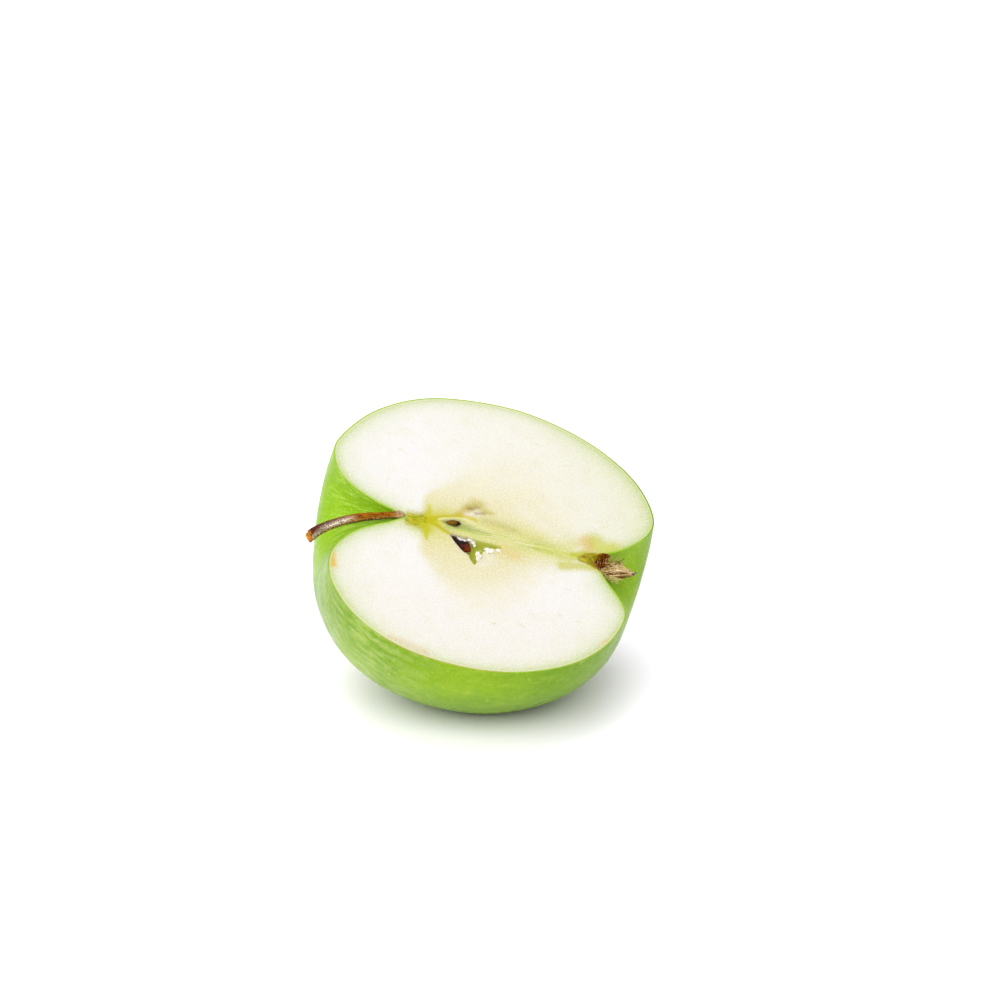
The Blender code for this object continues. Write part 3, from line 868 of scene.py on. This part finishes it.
def make_stem():
    """Woody stem: knot at the base, wrinkled bark, pale patches of wear that also carry a painted
    highlight, painted shade underneath, and a cut end.
    """
    rows = spline([(*point, radius) for point, radius in STEM], 16)
    body_rows = len(rows)
    tip = rows[-1].copy()
    ahead = (rows[-1] - rows[-2])[:3]
    ahead /= np.linalg.norm(ahead)
    # Round the cut end's edge and sink its middle a little
    for forward, size in ((0.1, 0.97), (0.16, 0.9), (0.16, 0.72), (0.1, 0.5), (0.06, 0.25)):
        ring = tip.copy()
        ring[:3] += ahead * forward
        ring[3] = tip[3] * size
        rows = np.vstack((rows, ring))

    def bark(angle, along):
        spot = Vector((along * 9.0, math.cos(angle) * 1.6, math.sin(angle) * 1.6))
        ridges = noise.noise(Vector((along * 3.0, math.cos(angle) * 3.2, math.sin(angle) * 3.2)))
        lumps = noise.noise(spot)
        knot = math.exp(-((along - 0.09) / 0.05) ** 2)
        rough = noise.noise(spot * 3.0)
        return 1.0 + 0.1 * ridges + 0.09 * lumps + (0.05 + 0.14 * knot) * rough

    points, faces, place = tube_points(rows[:, :3], rows[:, 3], STEM_SIDES, bark)
    end_starts = STEM_SIDES * body_rows
    along = np.clip(place[:, 0] / place[end_starts, 0], 0, 1)
    spots = noise_at(place * np.array((0.5, 1.0, 1.0)), 1.3, 3.0)
    # Round the stem: painted shade on the underside, dark reddish bark on the upper side of the outer
    # part, pale patches of wear with a painted highlight along the front, and a speckled underside
    size = np.hypot(place[:, 1], place[:, 2])
    lift = place[:, 1:] @ STEM_TOP
    low = -lift / np.maximum(size, 1e-6)
    colour = plain(srgb(140, 82, 2), points)
    colour = lay(colour, 1 - smoothstep(0.06, 0.17, along), srgb(146, 102, 24))
    # painted shade on the stem's underside
    colour = lay(colour, 0.8 * smoothstep(0.35, 0.8, low), srgb(76, 36, 2))
    outer = smoothstep(0.5, 0.66, along)
    colour = lay(colour, outer, srgb(104, 66, 24))
    top = smoothstep(0.62, 0.8, along) * smoothstep(0.1, -0.5, low)
    colour = lay(colour, 0.9 * top, srgb(74, 20, 6))
    # Pale patches in a band along the front, partly real wear and partly a painted highlight
    middle = np.exp(-((low + 0.15 - 0.5 * smoothstep(0.75, 1.0, along)) / 0.45) ** 2)
    worn_and_highlight = smoothstep(0.44, 0.6, along) * middle * (0.5 + 0.5 * smoothstep(-0.15, 0.25, spots))
    worn_and_highlight = np.maximum(worn_and_highlight, 0.35 * (1 - smoothstep(0.05, 0.14, along)))
    under = (0.4 + 0.6 * outer) * smoothstep(-0.1, 0.4, low)
    end = np.arange(len(points)) >= end_starts
    end[-2] = False
    colour[end] = srgb(212, 150, 50)
    colour[end & (size > 0.85 * tip[3])] = srgb(156, 88, 14)
    worn_and_highlight[end] = 0.0
    under[end] = 0.0
    # The oblique cut ends the upper side sooner
    points -= ahead * (CUT_SLOPE * smoothstep(0.9, 1.0, along) * (tip[3] + lift))[:, None]
    values = {"place": place, "worn_and_highlight": worn_and_highlight, "under": under}
    return add_mesh("stem_bark", points, faces, stem_material(), values, colour, sharp=60.0)


def seed_points(size, rings, sides, seed):
    """A seed with one pointed and one round end; gives points, faces and places on it."""
    a, b = Vector(size[0]), Vector(size[1])
    width, thick = size[2:]
    side, up = cross_axes((a, b), 0)
    points = [tuple(a)]
    place = [(0.0, 0.0, 0.0)]
    for i in range(1, rings):
        part = (1 - math.cos(math.pi * i / rings)) / 2
        fat = math.sin(math.pi * part ** 1.35) ** 0.72
        middle = a.lerp(b, part)
        for k in range(sides):
            angle = 2 * math.pi * k / sides
            spot = Vector((part * 3, math.cos(angle) * 2, math.sin(angle) * 2 + seed))
            dent = 1 + SEED_BUMPS * noise.noise(spot)
            across = width / 2 * fat * math.cos(angle) * dent
            high = thick / 2 * fat * math.sin(angle) * dent
            points.append(tuple(middle + side * across + up * high))
            place.append((part * (b - a).length, across, high))
    points.append(tuple(b))
    place.append(((b - a).length, 0.0, 0.0))
    faces = []
    last = len(points) - 1
    for k in range(sides):
        n = (k + 1) % sides
        faces.append((0, 1 + k, 1 + n))
        faces.append((last, last - sides + n, last - sides + k))
        for i in range(rings - 2):
            here, there = 1 + i * sides, 1 + (i + 1) * sides
            faces.append((here + k, here + n, there + n, there + k))
    return np.array(points), faces, np.array(place)


def make_upper_seed():
    points, faces, place = seed_points(UPPER_SEED, 40, 36, 4.0)
    along = place[:, 0] / place[:, 0].max()
    colour = plain(srgb(114, 78, 3), points)
    colour = lay(colour, smoothstep(0.6, 0.8, along), srgb(34, 14, 4))
    colour = lay(colour, 0.7 * (1 - smoothstep(0.0, 0.25, along)), srgb(84, 66, 8))
    material = seed_material("upper_seed", srgb(28, 8, 2), srgb(160, 116, 30))
    return add_mesh("seed_upper", points, faces, material, {"place": place}, colour)


def make_lower_seed():
    """Dark seed, chipped by the knife on its upper side so that the white kernel shows."""
    points, faces, place = seed_points(LOWER_SEED, 56, 48, 9.0)
    along = place[:, 0] / place[:, 0].max()
    colour = plain(srgb(26, 8, 6), points)
    spots = noise_at(place, 0.8, 2.0)
    colour = lay(colour, smoothstep(0.64, 0.86, along + 0.15 * spots), srgb(112, 44, 4))
    colour = lay(colour, 0.7 * smoothstep(0.15, 0.45, spots), srgb(80, 24, 10))
    edge = noise_at(place, 0.5, 6.0)
    chip = np.hypot((along - 0.38) / 0.21, (place[:, 1] + 0.85) / 0.9) + 0.3 * edge
    chip = np.where(place[:, 2] > -0.3, chip, 9.0)
    colour = lay(colour, smoothstep(1.08, 0.95, chip), flesh_tone(255, 250, 246))
    material = seed_material("lower_seed", srgb(16, 6, 4), srgb(96, 36, 14))
    return add_mesh("seed_lower", points, faces, material, {"place": place}, colour)


def blob(centre, size, seed):
    """A small uneven lump of torn pith."""
    bm = bmesh.new()
    bmesh.ops.create_icosphere(bm, subdivisions=4, radius=1.0)
    points = []
    for vert in bm.verts:
        p = vert.co
        lump = noise.noise(p * 1.4 + Vector((seed, 0, 0)))
        fuzz = noise.noise(p * 4.5 + Vector((0, seed, 0)))
        reach = 1 + PITH_ROUGHNESS * (lump + 0.5 * fuzz)
        points.append(tuple(c + q * s * reach for c, q, s in zip(centre, p, size)))
    faces = [tuple(v.index for v in face.verts) for face in bm.faces]
    bm.free()
    return points, faces


def make_pith():
    """Torn white fibres along the lower chamber's edge and on the dark seed."""
    spots = (
        ((4.0, 4.6, 0.0), (0.6, 0.62, 0.28)), ((4.6, 4.4, 0.0), (0.32, 0.4, 0.2)),
        ((3.4, 4.4, 0.0), (0.3, 0.3, 0.2)), ((6.0, 4.0, 0.0), (0.42, 0.48, 0.2)),
        ((1.8, 6.3, 0.05), (0.4, 0.6, 0.3)), ((2.0, 7.4, 0.05), (0.34, 0.62, 0.26)),
        ((2.4, 6.7, 0.0), (0.25, 0.4, 0.2)), ((-0.2, 2.8, -0.1), (0.48, 0.2, 0.16)),
        ((0.6, 3.3, -0.1), (0.36, 0.26, 0.2)), ((0.95, 3.9, -0.2), (0.24, 0.28, 0.2)),
    )
    points, faces = [], []
    for k, (centre, size) in enumerate(spots):
        new_points, new_faces = blob(centre, size, 3.1 * k + 1)
        faces += shifted(new_faces, len(points))
        points += new_points
        for _ in range(9):
            start = np.array(centre) + np.array([rng.uniform(-0.6, 0.6) * s for s in size])
            way = np.array((rng.uniform(-1, 1), rng.uniform(-1, 1), rng.uniform(0.0, 0.9)))
            way *= rng.uniform(0.35, 0.8) / np.linalg.norm(way)
            line = [start + way * t for t in (0.0, 0.35, 0.7, 1.0)]
            more, quads, _ = tube_points(line, (0.07, 0.06, 0.045, 0.02), 6)
            faces += shifted(quads, len(points))
            points += [tuple(p) for p in more]
    points = np.array(points)
    return add_mesh("pith", points, faces, pith_material(), {"place": points}, sharp=80.0)


def strip(line, widths, curl, seed):
    """A dried leaf-like strip: a closed band along a line, cupped across its width."""
    line = np.asarray(line, float)
    count = len(line)
    n = STRIP_POINTS
    top, bottom, place = [], [], []
    length = lengths(line)
    for i in range(count):
        first, second = cross_axes(line, i, curl)
        for k in range(n):
            s = 2 * k / (n - 1) - 1
            crinkle = STRIP_CRINKLE * noise.noise(Vector((length[i] * 0.8, s * 3.0, seed)))
            cup = 0.45 * widths[i] * s * s + crinkle
            base = Vector(line[i]) + first * (s * widths[i]) + second * cup
            thin = STRIP_THICKNESS * (1 - 0.6 * s * s)
            top.append(tuple(base + second * thin))
            bottom.append(tuple(base - second * thin))
            place.append((length[i], s * widths[i], seed))
    shift = len(top)
    faces = []
    for i in range(0, (count - 1) * n, n):
        for k in range(i, i + n - 1):
            quad = (k, k + 1, k + n + 1, k + n)
            faces.append(quad)
            faces.append(tuple(shift + q for q in reversed(quad)))
        for k in (i, i + n - 1):
            faces.append((k, k + n, shift + k + n, shift + k))
    for i in (0, (count - 1) * n):
        for k in range(i, i + n - 1):
            faces.append((k, k + 1, shift + k + 1, shift + k))
    return top + bottom, faces, place + place


def pick(span):
    """A number drawn between two, or one as it is."""
    return rng.uniform(*span) if isinstance(span, tuple) else span


def make_calyx():
    """Dried calyx: tan strips drawn together to a tip, fuzz round them, and dark stamens in the tube."""
    points, faces, place, colour = [], [], [], []

    def add(new_points, new_faces, new_place, tint):
        faces.extend(shifted(new_faces, len(points)))
        points.extend(tuple(p) for p in new_points)
        place.extend(tuple(p) for p in new_place)
        colour.extend([srgb(*tint)] * len(new_points))

    def thread(start, way, bend, size, tint):
        t = np.linspace(0, 1, 6)[:, None]
        line = np.array(start) + np.array(way) * t + np.array(bend) * t * t
        add(*tube_points(line, np.linspace(size, size * 0.45, 6), 7), tint)

    # Each strip: points of its middle line, half width, the way it cups, and its tint
    strips = (
        (((28.4, 1.9, -1.4), (29.8, 1.7, -0.9), (31.4, 1.5, -0.7), (33.2, 1.7, -0.7), (35.0, 1.9, -0.8)),
         0.62, (0, 0, 1), (198, 176, 122)),
        (((27.8, 2.6, -1.2), (29.2, 2.5, -1.0), (31.0, 2.4, -0.8), (33.0, 2.1, -0.8), (34.9, 2.0, -0.9)),
         0.66, (0, 0.4, 1), (170, 138, 66)),
        (((28.0, 3.0, -1.9), (29.4, 3.0, -1.7), (31.0, 2.8, -1.3), (32.8, 2.4, -1.1), (34.4, 2.1, -1.0)),
         0.7, (0, 0.8, 0.8), (152, 118, 52)),
        (((28.6, 0.6, -1.9), (29.8, 0.2, -1.3), (31.2, 0.2, -0.9), (32.6, 0.7, -0.7), (34.2, 1.4, -0.8)),
         0.55, (0, -0.6, 1), (184, 156, 96)),
        (((29.2, 1.0, -2.4), (30.4, 0.9, -2.0), (31.8, 1.0, -1.6), (33.2, 1.3, -1.3), (34.8, 1.7, -1.1)),
         0.7, (0, -1, 0.6), (120, 80, 22)),
        # The narrow pale strip on top: the tan of the calyx with a painted highlight
        (((29.0, 2.4, -0.9), (30.4, 2.3, -0.5), (31.8, 2.0, -0.4), (33.2, 1.8, -0.6), (34.6, 1.8, -0.8)),
         0.34, (0, 0, 1), (214, 194, 152)),
        (((28.0, 3.2, -1.5), (29.6, 3.5, -1.5), (31.4, 3.3, -1.4), (33.0, 2.7, -1.3)),
         0.42, (0, 1, 0.4), (156, 130, 54)),
    )
    for k, (line, width, curl, tint) in enumerate(strips):
        rows = spline(line, 10)
        share = np.linspace(0, 1, len(rows))
        widths = width * (0.6 + 0.7 * np.sin(math.pi * share ** 0.8) - 0.42 * share ** 2)
        add(*strip(rows, np.maximum(widths, 0.1), curl, 5.0 * k + 2), tint)
    draw = rng.uniform
    # Stamens: dark threads side by side in the tube
    for k in range(15):
        at = k / 14
        start = (26.3 + 2.7 * at + draw(-0.1, 0.1), 2.6 - 0.6 * at, -1.0 - 0.6 * at)
        way = (0.3 + draw(-0.3, 0.3), -2.4 - 1.4 * at + draw(-0.4, 0.4), 0.5 * at)
        tint = (40, 14, 2) if k % 2 else (150, 90, 22)
        thread(start, way, (0, 0, draw(-0.3, 0.3)), 0.17, tint)
    for k in range(10):
        start = (27.2 + draw(0, 1.6), draw(0.2, 2.2), -0.9)
        thread(start, (draw(0.5, 1.4), draw(-0.6, 0.6), 0.5), (0, 0, -0.2), 0.13, (92, 44, 10))
    # Fibres along the strips
    tints = ((222, 196, 140), (150, 104, 30), (80, 42, 4), (184, 148, 78))
    for k in range(70):
        side = draw(-1, 1)
        start = np.array((draw(28.4, 31.6), 2.1 + 1.9 * side, -0.75 - 0.5 * abs(side) + draw(0, 0.5)))
        goal = np.array((draw(32.6, 35.1), 1.9 + 0.5 * side, -0.7 + draw(-0.2, 0.3)))
        bend = (0, draw(-0.4, 0.4), draw(-0.2, 0.3))
        thread(start, (goal - start) * draw(0.5, 1.0), bend, draw(0.05, 0.1), tints[k % 4])
    # Fuzz below the strips, stray ends above them and dark ends at the tip: how many, where they
    # start, which way they go, bend, half width and tints; a pair stands for a draw between the two
    hairs = (
        (46, ((27.9, 30.8), (3.0, 4.2), -0.9), ((0.2, 2.0), (0.3, 1.9), (-0.2, 0.5)),
         0.3, (0.035, 0.06), ((214, 206, 132), (156, 144, 60))),
        (16, ((29.0, 31.6), (-0.2, 0.4), -0.7), ((0.2, 1.6), (-2.0, -0.5), (0.1, 0.6)),
         0.4, (0.04, 0.07), ((90, 60, 20), (180, 170, 116))),
        (7, ((34.2, 34.6), (1.4, 2.1), (-0.9, -0.5)), ((0.3, 0.9), (-0.5, 0.3), 0.1),
         0.0, 0.12, ((64, 54, 60), (166, 150, 144))),
    )
    for count, start, way, bend, size, tints in hairs:
        for k in range(count):
            root = [pick(span) for span in start]
            thread(root, [pick(span) for span in way], (bend, 0, 0), pick(size), tints[k % 2])
    return add_mesh("calyx_remains", np.array(points), faces, calyx_material(),
                    {"place": np.array(place)}, np.array(colour), sharp=75.0)


def add_piece(piece, slot, *nodes):
    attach(piece, "root")
    for node in nodes:
        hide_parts(node)


def make_object():
    points, out = fruit_surface()
    add_piece(make_skin(points, out), "skin", "flesh")
    add_piece(make_flesh(points, out), "flesh", "flesh")
    add_piece(make_pith(), "flesh", "flesh")
    add_piece(make_stem(), "stem", "stem")
    add_piece(make_calyx(), "calyx", "calyx")
    add_piece(make_upper_seed(), "upper_seed", "upper_seed")
    add_piece(make_lower_seed(), "lower_seed", "lower_seed")


def make_floor():
    mesh = bpy.data.meshes.new("floor")
    far = FLOOR_REACH
    corners = [(x, y, -FLOOR_DROP) for x, y in ((-far, -far), (far, -far), (far, far), (-far, far))]
    mesh.from_pydata(corners, [], [(0, 1, 2, 3)])
    mesh.materials.append(floor_material())
    floor = link("floor", mesh)


def make_camera():
    focal = PIXELS_PER_MM * CAMERA_DISTANCE
    right = np.array((1.0, 0.0, 0.0))
    down = -np.array((0.0, math.sin(CAMERA_TILT), math.cos(CAMERA_TILT)))
    away = np.array((0.0, math.cos(CAMERA_TILT), -math.sin(CAMERA_TILT)))
    x, y = ((pixel - PICTURE / 2) / focal for pixel in FACE_PIXEL)
    target = (right * x + down * y + away) * CAMERA_DISTANCE
    data = bpy.data.cameras.new("camera")
    data.sensor_width = SENSOR
    data.lens = focal / PICTURE * SENSOR
    data.clip_end = 50.0
    camera = link("camera", data)
    camera.location = (ORIGIN - target) * MM
    camera.rotation_euler = (math.pi / 2 - CAMERA_TILT, 0.0, 0.0)
    bpy.context.scene.camera = camera


def area_light(name, place, size, size_y, power):
    data = bpy.data.lights.new(name, "AREA")
    data.shape = "RECTANGLE"
    data.size = size
    data.size_y = size_y
    data.energy = power
    light = link(name, data)
    light.location = place
    light.rotation_euler = (Vector(LIGHT_AIM) - Vector(place)).to_track_quat("-Z", "Y").to_euler()


def make_light():
    # White all round as in a light tent: brighter overhead, in front and on the left
    g = Graph(bpy.data.worlds.new("studio"))
    way = g.node("ShaderNodeTexCoord", "Generated")
    height = g.node("ShaderNodeSeparateXYZ", "Z", {"Vector": way})
    glow = g.node("ShaderNodeMapRange", "Result", {
        "Value": height, "To Min": HORIZON_GLOW, "To Max": ZENITH_GLOW})
    side = g.node("ShaderNodeVectorMath", "Value", {0: way, 1: SIDE_GLOW}, operation="DOT_PRODUCT")
    level = g.node("ShaderNodeMath", "Value", {0: side, 1: glow, 2: glow}, operation="MULTIPLY_ADD")
    background = g.tree.nodes["Background"]
    g.put(background.inputs["Strength"], level)
    g.put(background.inputs["Color"], (1.0, 1.0, 1.0))
    bpy.context.scene.world = g.owner
    for light in LIGHTS:
        area_light(*light)
    bpy.context.scene.view_settings.view_transform = "Standard"
    bpy.context.scene.view_settings.look = "None"


make_camera()
make_object()
make_floor()
make_light()
